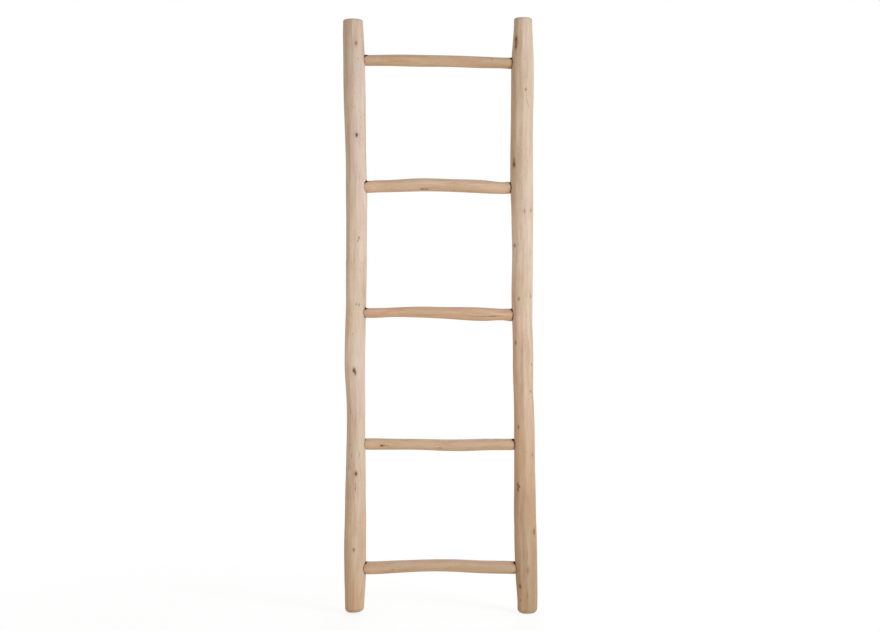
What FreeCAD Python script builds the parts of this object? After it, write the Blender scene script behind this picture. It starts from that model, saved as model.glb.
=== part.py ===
import FreeCAD, Part
import math
import os

# Peeled-branch ladder: two stiles, five rungs, and a peg through each of the ten joints.
# Millimetres; X to the right, Y to the back, Z up, the floor at zero.

# Ladder as a whole
LADDER_HEIGHT = 1500.0
LEFT_SHORTFALL = 3.0
STILE_SPACING = 423.5
FOOT_CLEARANCE = 114.0
TOP_CLEARANCE = 104.5

# Poles, shaved along their length into narrow flats
STILE_DIAMETER = 53.0
STILE_FLAT_COUNT = 20
RUNG_DIAMETER = 30.0
RUNG_FLAT_COUNT = 14
FOOT_ROUND = 13.0
TOP_ROUND = 4.0

# Round mortises and whittled tenons
MORTISE_WALL = 14.0
MOUTH_DEPTH = 10.0
MOUTH_GAP = 2.0
GLUE_GAP = 0.15
TENON_END_GAP = 0.5
TENON_CHAMFER = 2.0
SHOULDER_STEP = 2.0
SHOULDER_STAND_OFF = 5.0

# Pegs driven in from behind
PEG_LENGTH = 30.0
PEG_DIAMETER = 6.0
PEG_FLAT_COUNT = 8
PEG_GAP = 0.1
PEG_END_GAP = 0.5
PEG_POINT_LENGTH = 5.0
PEG_POINT_STEP = 1.2

# How far a cutting tool runs out of the wood
OVERRUN = 20.0

# The rounded end of a stile, pared off in two bevels: height and inset, in rounding radii
END_BEVEL_SHARES = ((0.0, 1.0), (0.3, 0.3), (1.0, 0.0))

# Each row of a stile: height up its length, then sway to the right, sway to the back and
# thickness, these three in stile diameters.
LEFT_STILE_SHARES = (
    (0.000, -0.039, 0.00, 0.910),
    (0.030, -0.020, 0.00, 0.980),
    (0.065, -0.011, 0.01, 1.045),
    (0.105, -0.011, 0.02, 1.065),
    (0.180, 0.005, 0.05, 1.005),
    (0.260, 0.020, 0.08, 0.927),
    (0.320, 0.020, 0.10, 0.885),
    (0.360, 0.010, 0.10, 0.916),
    (0.400, -0.027, 0.08, 0.970),
    (0.445, -0.019, 0.06, 0.986),
    (0.520, 0.024, 0.02, 0.983),
    (0.605, 0.052, -0.02, 1.008),
    (0.655, 0.063, -0.04, 0.994),
    (0.695, 0.063, -0.05, 1.021),
    (0.745, 0.039, -0.05, 0.992),
    (0.825, -0.016, -0.02, 1.028),
    (0.905, -0.052, 0.02, 1.058),
    (0.950, -0.078, 0.04, 1.017),
    (1.000, -0.119, 0.05, 0.927),
)
RIGHT_STILE_SHARES = (
    (0.000, 0.191, 0.04, 0.950),
    (0.030, 0.181, 0.03, 0.990),
    (0.060, 0.147, 0.02, 1.045),
    (0.100, 0.120, 0.00, 1.077),
    (0.140, 0.096, -0.02, 1.064),
    (0.180, 0.072, -0.04, 1.053),
    (0.260, 0.049, -0.06, 1.000),
    (0.330, 0.032, -0.05, 0.965),
    (0.365, -0.002, -0.05, 0.937),
    (0.405, -0.017, -0.03, 0.977),
    (0.445, -0.014, 0.00, 0.977),
    (0.480, -0.043, 0.03, 0.960),
    (0.520, -0.064, 0.05, 1.013),
    (0.600, -0.041, 0.09, 1.008),
    (0.660, -0.048, 0.10, 1.051),
    (0.740, -0.081, 0.07, 1.098),
    (0.825, -0.078, 0.03, 1.072),
    (0.905, -0.041, -0.02, 1.093),
    (0.945, -0.026, -0.03, 1.025),
    (1.000, -0.016, -0.05, 0.872),
)

# Places along a rung between its two shoulders, as shares of that length
RUNG_STATION_SHARES = (0.00, 0.14, 0.28, 0.42, 0.56, 0.70, 0.85, 1.00)

# Each rung from the lowest up: how far off the even spacing it was set, in spacings, and how
# far its right end lies below its left one, in rung diameters
RUNG_DRIFT_SHARES = (0.000, -0.027, 0.008, -0.002, 0.000)
RUNG_FALL_SHARES = (0.01, 0.01, 0.17, 0.03, 0.27)

# How far behind the middle of its stile each rung's hole was bored, in stile diameters
LEFT_SET_BACK_SHARES = (-0.040, 0.090, -0.085, -0.075, 0.090)
RIGHT_SET_BACK_SHARES = (0.080, 0.095, 0.080, 0.090, 0.090)

# Rise, sway to the back and thickness of each rung at its stations, in rung diameters
RUNG_RISE_SHARES = (
    (0.00, 0.055, 0.130, 0.187, 0.190, 0.125, 0.050, 0.00),
    (0.00, -0.005, -0.010, -0.040, -0.075, -0.060, -0.012, 0.00),
    (0.00, 0.055, 0.115, 0.122, 0.095, 0.047, 0.020, 0.00),
    (0.00, 0.075, 0.160, 0.210, 0.185, 0.140, 0.055, 0.00),
    (0.00, 0.042, 0.065, 0.078, 0.085, 0.065, 0.030, 0.00),
)
RUNG_SWAY_SHARES = (
    (0.00, 0.020, 0.060, 0.090, 0.080, 0.050, 0.020, 0.00),
    (0.00, -0.040, -0.090, -0.120, -0.100, -0.060, -0.020, 0.00),
    (0.00, 0.030, 0.050, 0.020, -0.030, -0.060, -0.040, 0.00),
    (0.00, -0.020, -0.030, -0.010, 0.030, 0.060, 0.040, 0.00),
    (0.00, 0.040, 0.100, 0.140, 0.120, 0.070, 0.020, 0.00),
)
RUNG_SWELL_SHARES = (
    (1.090, 1.085, 1.040, 1.015, 1.045, 1.080, 1.090, 1.085),
    (0.970, 0.940, 0.918, 0.950, 0.998, 1.005, 0.970, 0.965),
    (0.850, 0.800, 0.880, 0.965, 1.015, 1.110, 1.095, 1.110),
    (1.030, 1.035, 1.090, 1.110, 1.095, 1.120, 1.105, 1.030),
    (0.950, 0.955, 1.005, 1.000, 0.970, 0.975, 0.960, 0.990),
)

TO_RIGHT = FreeCAD.Vector(1, 0, 0)
TO_BACK = FreeCAD.Vector(0, 1, 0)
UP = FreeCAD.Vector(0, 0, 1)


def ring(centre, axis, radius, flats):
    """The corners of one section of a shaved pole, the first one again at the end."""
    side = TO_RIGHT if axis.cross(UP).Length == 0 else UP
    other = axis.cross(side)
    corners = []
    for count in range(flats + 1):
        angle = math.tau * count / flats
        corners.append(centre + side * (radius * math.cos(angle)) + other * (radius * math.sin(angle)))
    return corners


def bent_pole(centres, axis, radii, flats):
    """A smooth pole through a row of sections, its flats running along it."""
    rings = [ring(centre, axis, radius, flats) for centre, radius in zip(centres, radii)]
    return Part.makeLoft([Part.makePolygon(corners) for corners in rings], True, False)


def whittled(origin, axis, rows, flats):
    """A straight piece pared flat by flat; each row is a distance along the axis and a radius."""
    rings = [ring(origin + axis * along, axis, radius, flats) for along, radius in rows]
    outlines = [rings[0], rings[-1]]
    for near, far in zip(rings, rings[1:]):
        for count in range(flats):
            after = count + 1
            outlines.append([near[count], near[after], far[after], far[count], near[count]])
    return Part.Solid(Part.Shell([Part.Face(Part.makePolygon(outline)) for outline in outlines]))


def stile_end(centre, direction, radius, rounding):
    """The rounded-over end of a stile, from its flat face up to where the full pole starts."""
    rows = []
    for height_share, inset_share in END_BEVEL_SHARES:
        rows.append((height_share * rounding, radius - inset_share * rounding))
    return whittled(centre, direction, rows, STILE_FLAT_COUNT)


def stile_blank(axis_x, length, table):
    """A whole stile before any hole is bored: a bent, swelling pole with both ends rounded over."""
    centres = []
    radii = []
    for height_share, sway_share, depth_share, swell_share in table:
        x = axis_x + sway_share * STILE_DIAMETER
        y = depth_share * STILE_DIAMETER
        z = FOOT_ROUND + height_share * (length - FOOT_ROUND - TOP_ROUND)
        centres.append(FreeCAD.Vector(x, y, z))
        radii.append(swell_share * STILE_DIAMETER / 2)
    foot = stile_end(centres[0] - UP * FOOT_ROUND, UP, radii[0], FOOT_ROUND)
    top = stile_end(centres[-1] + UP * TOP_ROUND, UP * -1, radii[-1], TOP_ROUND)
    return bent_pole(centres, UP, radii, STILE_FLAT_COUNT).fuse([foot, top])


def crossing(pole, point, axis):
    """Where a straight line through a point enters and leaves a pole, measured along the line."""
    line = Part.makeLine(point - axis * STILE_SPACING, point + axis * STILE_SPACING)
    places = [vertex.Point.dot(axis) for vertex in pole.common(line).Vertexes]
    return min(places), max(places)


class Joint:
    """One end of a rung in its stile: where the hole is bored, and how thick the rung comes in."""

    def __init__(self, blank, axis_x, inward, height, set_back, end_diameter):
        bored = FreeCAD.Vector(axis_x, 0, height)
        self.inward = inward
        front, back = crossing(blank, bored, TO_BACK)
        bored.y = (front + back) / 2 + set_back
        faces = sorted(crossing(blank, bored, TO_RIGHT), key=lambda x: x * inward.x)
        self.centre = FreeCAD.Vector(sum(faces) / 2, bored.y, height)
        self.skin = FreeCAD.Vector(faces[1], bored.y, height)
        self.depth = abs(faces[1] - faces[0]) - MORTISE_WALL
        self.end_radius = end_diameter / 2
        self.tenon_radius = self.end_radius - SHOULDER_STEP
        self.shoulder = self.skin + inward * SHOULDER_STAND_OFF
        self.peg_tip = FreeCAD.Vector(self.centre.x, back - PEG_LENGTH, height)

    def mortise(self):
        """The blind round hole with its dished mouth, as the solid to cut away."""
        bore = self.tenon_radius + GLUE_GAP
        flare = (self.end_radius + MOUTH_GAP - bore) / MOUTH_DEPTH
        reach = MOUTH_DEPTH + OVERRUN
        floor = self.skin - self.inward * self.depth
        dish = self.skin - self.inward * MOUTH_DEPTH
        hole = Part.makeCylinder(bore, self.depth, floor, self.inward)
        return hole.fuse(Part.makeCone(bore, bore + flare * reach, reach, dish, self.inward))

    def tenon(self):
        """The whittled end of the rung: a shoulder sloping down to a long tenon."""
        tip = TENON_END_GAP - self.depth
        rows = (
            (tip, self.tenon_radius - TENON_CHAMFER),
            (tip + TENON_CHAMFER, self.tenon_radius),
            (-MOUTH_DEPTH, self.tenon_radius),
            (SHOULDER_STAND_OFF, self.end_radius),
        )
        return whittled(self.skin, self.inward, rows, RUNG_FLAT_COUNT)

    def peg_hole(self):
        """The hole for the peg, bored from behind, as the solid to cut away."""
        start = self.peg_tip - TO_BACK * PEG_END_GAP
        length = PEG_END_GAP + PEG_LENGTH + OVERRUN
        return Part.makeCylinder(PEG_DIAMETER / 2 + PEG_GAP, length, start, TO_BACK)

    def peg(self):
        """The shaved peg, pointed at its tip and cut flush with the back of the stile."""
        radius = PEG_DIAMETER / 2
        rows = ((0, radius - PEG_POINT_STEP), (PEG_POINT_LENGTH, radius), (PEG_LENGTH, radius))
        return whittled(self.peg_tip, TO_BACK, rows, PEG_FLAT_COUNT)


def rung(left, right, rises, sways, swells):
    """A rung: a crooked branch between two shoulders, with a tenon at each end."""
    centres = []
    for share, rise_share, sway_share in zip(RUNG_STATION_SHARES, rises, sways):
        straight = left.shoulder + (right.shoulder - left.shoulder) * share
        centres.append(straight + (UP * rise_share + TO_BACK * sway_share) * RUNG_DIAMETER)
    radii = [swell_share * RUNG_DIAMETER / 2 for swell_share in swells]
    branch = bent_pole(centres, TO_RIGHT, radii, RUNG_FLAT_COUNT).fuse([left.tenon(), right.tenon()])
    return branch.cut([left.peg_hole(), right.peg_hole()])


def rung_height(index):
    """Height of a rung's left end above the floor."""
    pitch = (LADDER_HEIGHT - FOOT_CLEARANCE - TOP_CLEARANCE) / (len(RUNG_DRIFT_SHARES) - 1)
    return FOOT_CLEARANCE + (index + RUNG_DRIFT_SHARES[index]) * pitch


def ladder():
    """Every piece by its name, standing with the middle of its footprint at the origin."""
    left_x = -STILE_SPACING / 2
    right_x = STILE_SPACING / 2
    left_blank = stile_blank(left_x, LADDER_HEIGHT - LEFT_SHORTFALL, LEFT_STILE_SHARES)
    right_blank = stile_blank(right_x, LADDER_HEIGHT, RIGHT_STILE_SHARES)
    pieces = {}
    left_cuts = []
    right_cuts = []
    for index, swells in enumerate(RUNG_SWELL_SHARES):
        left_height = rung_height(index)
        right_height = left_height - RUNG_FALL_SHARES[index] * RUNG_DIAMETER
        left_back = LEFT_SET_BACK_SHARES[index] * STILE_DIAMETER
        right_back = RIGHT_SET_BACK_SHARES[index] * STILE_DIAMETER
        left_end = swells[0] * RUNG_DIAMETER
        right_end = swells[-1] * RUNG_DIAMETER
        left = Joint(left_blank, left_x, TO_RIGHT, left_height, left_back, left_end)
        right = Joint(right_blank, right_x, TO_RIGHT * -1, right_height, right_back, right_end)
        number = index + 1
        pieces[f"rung_{number}"] = rung(
            left, right, RUNG_RISE_SHARES[index], RUNG_SWAY_SHARES[index], swells
        )
        pieces[f"left_peg_{number}"] = left.peg()
        pieces[f"right_peg_{number}"] = right.peg()
        left_cuts += [left.mortise(), left.peg_hole()]
        right_cuts += [right.mortise(), right.peg_hole()]
    pieces["left_stile"] = left_blank.cut(left_cuts)
    pieces["right_stile"] = right_blank.cut(right_cuts)
    middle = Part.makeCompound([left_blank, right_blank]).optimalBoundingBox(False, False).Center
    for piece in pieces.values():
        piece.translate(FreeCAD.Vector(-middle.x, -middle.y, 0))
    return pieces


os.makedirs("parts", exist_ok=True)
for name, piece in ladder().items():
    piece.exportStep(f"parts/{name}.step")
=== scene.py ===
import math

import bpy
import numpy as np
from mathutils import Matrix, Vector
from mathutils.bvhtree import BVHTree


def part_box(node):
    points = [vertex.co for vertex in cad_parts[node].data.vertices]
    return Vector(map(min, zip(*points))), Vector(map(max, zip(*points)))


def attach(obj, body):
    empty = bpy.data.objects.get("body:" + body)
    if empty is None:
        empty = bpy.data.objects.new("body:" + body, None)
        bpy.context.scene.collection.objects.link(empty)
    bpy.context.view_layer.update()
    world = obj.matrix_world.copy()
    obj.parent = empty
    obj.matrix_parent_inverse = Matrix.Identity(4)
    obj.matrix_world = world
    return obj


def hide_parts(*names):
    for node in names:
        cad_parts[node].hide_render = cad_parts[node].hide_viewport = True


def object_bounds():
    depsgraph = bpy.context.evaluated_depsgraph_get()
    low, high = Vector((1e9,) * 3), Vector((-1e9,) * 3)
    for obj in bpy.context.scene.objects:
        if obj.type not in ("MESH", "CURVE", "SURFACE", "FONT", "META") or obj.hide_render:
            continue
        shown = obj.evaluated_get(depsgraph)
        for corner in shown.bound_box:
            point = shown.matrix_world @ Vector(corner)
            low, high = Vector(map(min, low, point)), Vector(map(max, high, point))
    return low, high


# Decorative ladder of peeled branches: two bent stiles, five rungs in bored sockets, pegs behind.
# Metres; X to the right, Y to the back, Z up.

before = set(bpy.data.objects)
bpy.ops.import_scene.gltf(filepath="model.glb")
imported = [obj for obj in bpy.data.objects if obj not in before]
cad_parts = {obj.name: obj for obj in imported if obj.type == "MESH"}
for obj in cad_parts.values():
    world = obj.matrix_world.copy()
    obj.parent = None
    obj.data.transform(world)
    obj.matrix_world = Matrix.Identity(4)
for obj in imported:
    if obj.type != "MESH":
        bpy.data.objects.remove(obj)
CAD_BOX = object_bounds()

MM = 0.001
X, Y, Z = 0, 1, 2
RUNG_COUNT = 5

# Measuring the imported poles: spacing of the sections, smoothing along the pole, what is left out at
# each end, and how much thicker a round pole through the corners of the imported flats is
STILE_MEASURE = (4 * MM, 8 * MM, 14 * MM, 1.017)
RUNG_MEASURE = (2 * MM, 3 * MM, 3 * MM, 1.024)

# They are measured on the side that no socket or peg hole breaks, in degrees from the section's
# first axis; a stile is a little less deep than it is wide
MEASURE_TURN = 4
LEFT_OPEN_SIDE = (115, 310)
RIGHT_OPEN_SIDE = (-130, 65)
RUNG_OPEN_SIDE = (40, 320)
STILE_DEPTH_SHARE = 0.985

# Round skins: spacing of the rings, points in a ring, rings on an end face and on a rounded edge
STILE_RING_STEP = 1.8 * MM
STILE_SIDES = 92
RUNG_RING_STEP = 1.6 * MM
RUNG_SIDES = 60
CAP_RINGS = 9
ROUND_RINGS = 6
FOOT_ROUND = 13 * MM
TOP_ROUND = 5.2 * MM
TENON_ROUND = 2 * MM

# Each pole lies in another place of the wood's pattern, this far along it; rungs follow each other
LEFT_GRAIN_SHIFT = 0.0
RIGHT_GRAIN_SHIFT = 4.0
RUNG_GRAIN_SHIFT = 8.0

# The left foot was sawn a little out of square: it clears the floor towards the front right
LEFT_FOOT_LIFT = 4.8 * MM
LEFT_FOOT_TURN = math.radians(-50)
LEFT_FOOT_FADE = 60 * MM

# Bored sockets: the rung rests on the lower lip, so the gap opens above it. The dish of the mouth
# is given in shares of its depth and of what it widens by.
MOUTH_GAP = 0.5 * MM
MOUTH_DEPTH = 9 * MM
MOUTH_DISH = ((0.6, 0.35), (0.3, 0.75))
MOUTH_TOP_GAP = 1.4 * MM
SOCKET_SLACK = 0.8 * MM
SOCKET_OUTRUN = 16 * MM
SOCKET_FLARE = 7 * MM
SOCKET_SIDES = 56
SOCKET_WOBBLE_SHARE = 0.015
SHOULDER_REACH = 6 * MM
TENON_REACH = 10 * MM

# Darkening at the joints: a line round each, partly grime and partly painted shade in the gap, and
# in the corner on top painted shade over torn fibres that stand up, which starts and is full at these
# shares of the mouth's height. The value for no mark lies further off than any of it. The rows of
# shares say how much of both there is at each rung, from the lowest up.
DARK_LINE_WIDTH = 1.8 * MM
CORNER_SHADE_WIDTH = 6.0 * MM
CORNER_START = 0.40
CORNER_FULL = 0.72
CORNER_LIFT = 0.6 * MM
CORNER_LIFT_REACH = 4.0 * MM
UNMARKED = 100.0
LEFT_CORNER_SHARES = (0.8, 0.5, 1.0, 1.0, 1.4)
RIGHT_CORNER_SHARES = (0.92, 1.05, 0.7, 0.6, 0.85)
LEFT_LINE_SHARES = (0.50, 0.34, 0.50, 0.40, 0.45)
RIGHT_LINE_SHARES = (0.45, 0.8, 0.85, 1.15, 0.7)

# Knots and checks, listed one by one. Each row: place along the pole in metres, turn from the front
# in degrees (to the right on a stile, upwards on a rung), radius in millimetres, darkness, how far
# its dark streak runs on and back along the grain in millimetres, and its kind: 1 is a sound knot,
# 0.5 a healed one without a dark heart, and 0 a check in the wood, only a streak.
LEFT_STILE_KNOTS = (
    (1.434, 16, 3.6, 0.50, 5, 5, 1),
    (1.203, 10, 3.0, 1.00, 6, 8, 1),
    (0.945, 16, 2.4, 0.45, 7, 5, 1),
    (0.938, 11, 1.8, 0.40, 4, 7, 1),
    (0.7785, 5, 2.2, 0.30, 6, 4, 1),
    (0.777, 22, 2.2, 0.32, 4, 6, 1),
    (0.775, 63, 3.4, 1.00, 12, 8, 0),
    (0.612, -2, 3.8, 1.00, 10, 8, 1),
    (0.6065, 4, 3.2, 0.70, 8, 14, 1),
    (0.353, 3, 3.3, 1.00, 14, 8, 1),
    (0.163, -5, 3.4, 0.42, 7, 5, 1),
    (0.320, 1, 3.2, 1.00, 16, 18, 0),
    (0.897, -45, 3.0, 0.55, 30, 28, 0),
    (0.5285, -42, 3.2, 0.45, 12, 12, 0),
    (0.5085, -29, 3.2, 0.48, 12, 12, 0),
    (0.4930, -17, 3.2, 0.42, 12, 12, 0),
    (0.398, -24, 3.0, 0.55, 14, 10, 0),
    (0.401, 24, 2.8, 0.45, 12, 10, 0),
    (1.310, 150, 4.0, 0.85, 8, 12, 1),
    (1.360, -100, 2.6, 0.60, 6, 6, 1),
    (1.020, -125, 3.2, 0.75, 6, 14, 1),
    (0.880, -78, 2.4, 0.45, 8, 8, 1),
    (0.700, 172, 4.4, 0.95, 10, 10, 1),
    (0.470, 115, 3.0, 0.65, 6, 8, 1),
    (0.255, -160, 4.0, 0.85, 8, 20, 1),
)
RIGHT_STILE_KNOTS = (
    (1.4447, -46, 4.1, 1.00, 6, 10, 1),
    (1.4365, -43, 4.2, 0.95, 12, 12, 0.5),
    (1.4270, -44, 3.8, 0.85, 12, 24, 1),
    (1.317, 16, 2.0, 0.75, 3, 3, 1),
    (1.3035, 20, 3.2, 0.30, 9, 9, 0),
    (1.2935, 21, 3.4, 0.36, 9, 9, 0),
    (1.2840, 26, 3.6, 0.38, 9, 9, 0),
    (1.2770, 33, 4.0, 0.36, 8, 8, 0),
    (1.130, -43, 4.1, 0.90, 14, 12, 1),
    (1.140, -44, 3.6, 0.60, 16, 10, 0.5),
    (0.926, -50, 2.3, 0.85, 10, 5, 1),
    (1.013, 9, 2.2, 0.45, 14, 16, 0.5),
    (1.015, 51, 2.4, 0.50, 12, 12, 0.5),
    (0.792, -20, 2.4, 0.60, 9, 9, 0.5),
    (0.799, 56, 2.6, 0.60, 9, 9, 0.5),
    (0.682, -48, 2.6, 0.70, 7, 5, 1),
    (0.628, 54, 2.0, 0.45, 6, 6, 1),
    (0.560, 44, 2.0, 0.55, 6, 6, 1),
    (0.471, -37, 2.8, 0.45, 5, 9, 1),
    (0.401, 47, 2.6, 0.40, 9, 9, 1),
    (0.3290, -38, 2.0, 0.45, 5, 5, 1),
    (0.3255, -44, 2.4, 0.70, 4, 4, 1),
    (0.3220, -33, 2.6, 0.75, 5, 5, 1),
    (0.3190, -40, 2.4, 0.70, 4, 4, 1),
    (0.3135, -43, 2.6, 0.75, 4, 5, 1),
    (0.3110, -36, 2.0, 0.40, 5, 7, 1),
    (0.2075, 49, 4.6, 0.90, 14, 14, 0.5),
    (0.1115, 5, 5.2, 0.32, 24, 40, 0.5),
    (0.109, -50, 2.6, 0.35, 4, 4, 0.5),
    (0.070, -44, 3.4, 0.85, 5, 8, 1),
    (0.047, -3, 2.8, 0.65, 13, 13, 0),
    (0.147, 6, 2.8, 0.50, 24, 22, 0),
    (0.035, -47, 2.2, 0.40, 4, 4, 1),
    (1.220, 160, 4.0, 0.85, 8, 10, 1),
    (1.365, 118, 3.0, 0.65, 6, 6, 1),
    (0.970, -150, 3.2, 0.75, 6, 12, 1),
    (0.740, 122, 4.0, 0.95, 9, 9, 1),
    (0.520, 170, 3.0, 0.65, 6, 6, 1),
    (0.270, -112, 3.4, 0.75, 8, 8, 1),
    (0.160, 146, 4.0, 0.85, 8, 16, 1),
)
RUNG_KNOTS = (
    ((0.060, 150, 2.4, 0.75, 9, 9, 1), (-0.120, -20, 1.8, 0.30, 7, 7, 1)),
    ((-0.147, -11, 2.5, 1.00, 24, 6, 1), (0.000, -27, 1.8, 0.55, 36, 30, 1),
     (0.120, 170, 2.5, 0.75, 8, 8, 1)),
    ((0.1325, -16, 4.2, 1.00, 34, 60, 0), (-0.090, 160, 2.2, 0.75, 6, 6, 1)),
    ((-0.045, -44, 2.4, 0.95, 20, 6, 1), (-0.035, -46, 2.6, 0.65, 14, 8, 0.5),
     (0.100, 175, 2.5, 0.85, 7, 7, 1)),
    ((-0.060, 165, 2.3, 0.75, 7, 7, 1), (0.130, 30, 1.7, 0.35, 6, 6, 1)),
)

# Broad patches where the sun or the peeling left the wood darker or paler, listed one by one; some
# are painted light and shade instead, as the darker ones on the lit right side of the right stile near
# the foot and the paler ones up its shaded left side. Each row: place along the pole in metres, turn
# from the front in degrees, reach along the pole in metres, reach round it in degrees, and how much
# darker it is, or paler where that is below nothing.
LEFT_STILE_TONES = (
    (0.76, -35, 0.20, 25, -0.35),
    (0.54, -50, 0.08, 14, -0.25),
    (0.78, 50, 0.11, 22, 0.42),
    (0.96, 2, 0.06, 10, 0.35),
    (0.99, -24, 0.06, 12, -0.25),
    (0.22, -48, 0.05, 14, -0.30),
    (1.46, 36, 0.05, 24, -0.22),
    (1.46, -40, 0.06, 24, 0.25),
    (0.97, -50, 0.05, 14, 0.25),
    (0.81, 24, 0.06, 14, 0.25),
    (0.22, 0, 0.06, 16, -0.15),
    (0.14, 0, 0.07, 30, -0.16),
    (1.30, 0, 0.06, 12, -0.18),
    (1.13, 0, 0.03, 12, -0.22),
)
RIGHT_STILE_TONES = (
    (0.92, -50, 0.11, 16, -0.40),
    (0.58, -50, 0.14, 14, -0.42),
    (0.40, -50, 0.10, 14, -0.30),
    (0.19, -50, 0.06, 14, -0.45),
    (0.02, -38, 0.05, 22, -0.42),
    (0.73, -24, 0.03, 12, -0.35),
    (1.46, -2, 0.05, 12, -0.30),
    (1.15, -22, 0.05, 28, 0.50),
    (0.85, 0, 0.06, 12, 0.38),
    (0.12, 36, 0.08, 20, 0.36),
    (1.47, -48, 0.06, 14, 0.22),
    (1.33, -48, 0.06, 14, 0.20),
    (1.23, 0, 0.03, 14, -0.22),
    (1.13, 0, 0.04, 16, 0.20),
    (0.99, -36, 0.05, 22, -0.20),
    (0.45, 48, 0.12, 16, 0.15),
    (0.18, 48, 0.03, 14, 0.35),
    (0.07, 20, 0.04, 12, 0.32),
    (0.02, -40, 0.04, 22, -0.20),
    (0.02, 22, 0.03, 14, 0.20),
)
RUNG_TONES = (
    ((-0.17, -30, 0.03, 40, -0.35), (-0.02, -40, 0.15, 20, -0.15), (0.13, 5, 0.04, 25, 0.30)),
    ((-0.16, -25, 0.03, 30, -0.25), (-0.10, 20, 0.04, 30, -0.20), (0.12, 30, 0.05, 25, 0.25)),
    ((-0.13, 5, 0.03, 25, -0.30), (0.10, 3, 0.04, 12, 0.32), (0.09, 35, 0.04, 14, -0.30)),
    ((-0.17, 5, 0.03, 40, -0.32), (-0.02, -35, 0.03, 20, 0.35), (0.085, -35, 0.03, 20, 0.25),
     (0.11, 0, 0.04, 20, -0.20)),
    ((-0.09, 0, 0.04, 40, -0.22), (0.02, 35, 0.05, 25, -0.22), (0.135, -35, 0.03, 25, 0.33)),
)
DARKER = "#ddcbb8"
PALER = (1.5, 1.5, 1.5, 1.0)

# The skin that the drawknife left: long shallow flats in some places, fine ridges, and the wood
# round a knot, whose reaches are in knot radii
SKIN_SIZES = {
    "Flat count": 9.0, "Flat length": 220 * MM, "Flat share": 0.75, "Flat wander": 0.9,
    "Patch size": (45 * MM, 45 * MM, 160 * MM), "Ridge size": (3.2 * MM, 3.2 * MM, 60 * MM),
    "Ridge depth": 0.32 * MM, "Knot swell": 0.11, "Knot pit": 0.22, "Seed": 7.0,
}
LEAST_FLAT_SHARE = 0.15
PATCH_RANGE = (0.35, 0.6)
RIDGE_LEVEL = 0.6
KNOT_HEART_REACH = 0.8
KNOT_SWELL_REACH = 2.4
KNOT_GRAIN_REACH = 1.7
KNOT_GRAIN_PULL = -0.8
KNOT_SWELL_OVAL = (1.0, 0.55, 1.0)
KNOT_OVAL = (1.0, 0.62, 1.0)

# The underside of a rung is painted warmer, as warm light thrown up from below makes it: height above
# the rung's middle where that starts and is full
UNDER_START = 6 * MM
UNDER_FULL = -5 * MM

# Patterns in the wood, drawn out along the grain: width and length of a cloud, and its detail. Real
# fibres and pores are finer: these are drawn as coarse as they need to show from close by.
BROAD_CLOUDS = (17 * MM, 95 * MM, 2)
PATCH_CLOUDS = (14 * MM, 90 * MM, 2)
PALE_STREAKS = (11 * MM, 190 * MM, 2)
DARK_FLAMES = (7 * MM, 120 * MM, 2)
THIN_LINES = (2.4 * MM, 90 * MM, 2)
FIBRES = (0.5 * MM, 15 * MM, 3)
PORES = (0.35 * MM, 5 * MM, 1)
CLOUD_ROUGHNESS = 0.55

# The grain drifts aside in slow smooth waves, by up to this reach; some patterns start in another
# place, the figure has so many radians to each step of the broad clouds, and bruises are short dashes
GRAIN_DRIFT = (40 * MM, 220 * MM, 1, 0.5)
DRIFT_REACH = (22 * MM, 22 * MM, 0)
OTHER_PLACE = (0.31, 0.17, 0.7)
FIGURE_RADIANS = 70.0
BRUISE_SIZE = (6 * MM, 6 * MM, 24 * MM)

# Ragged edge, rings and flecks of a knot, the frayed edge and spots of the grime and painted shade at
# the joints, the sawn ends, torn wood and the pegs' grain
KNOT_RAG = (1.1, 1.1, 0.0)
KNOT_RAG_MIDDLE = (0.55, 0.55, 0.0)
KNOT_RING_RADIANS = 17.0
KNOT_FLECK = 1.8 * MM
DARK_EDGE_FRAY = 0.8
DARK_SPOT_SIZE = 7 * MM
ACROSS_GRAIN = (1, 1, 0)
YEAR_RING = 2.6 * MM
YEAR_WOBBLE = 4 * MM
YEAR_WOBBLE_SIZE = 12 * MM
CHECK_SCALE = 7.0
PITH = 5 * MM
PITH_HEART = 1 * MM
TORN_SIZE = 1.5 * MM
PEG_GRAIN_SIZE = (0.8 * MM, 9 * MM, 0.8 * MM)
WOOD_IOR = 1.5

# Pegs, shaved to eight flats with eased corners, pointed at the tip, the rim of the head pared in
# steps: how far each lies from the head and inside the flats, in rims
PEG_SIDES = 8
PEG_EASING = 3
PEG_TIP_SHARE = 0.55
PEG_POINT_SHARE = 1.6
PEG_RIM = 0.6 * MM
PEG_RIM_STEPS = ((2, 0), (1, 0), (0.3, 0.4), (0, 1))
PEG_FACE_SHARE = 0.5
PEG_HOLE_SIDES = 32
PEG_HOLE_GAP = 0.25 * MM
PEG_HOLE_OUTRUN = 8 * MM


def linear(hex_colour):
    """An sRGB hex colour as linear RGBA."""
    parts = [int(hex_colour[i:i + 2], 16) / 255 for i in (1, 3, 5)]
    return [c / 12.92 if c <= 0.04045 else ((c + 0.055) / 1.055) ** 2.4 for c in parts] + [1.0]


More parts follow.
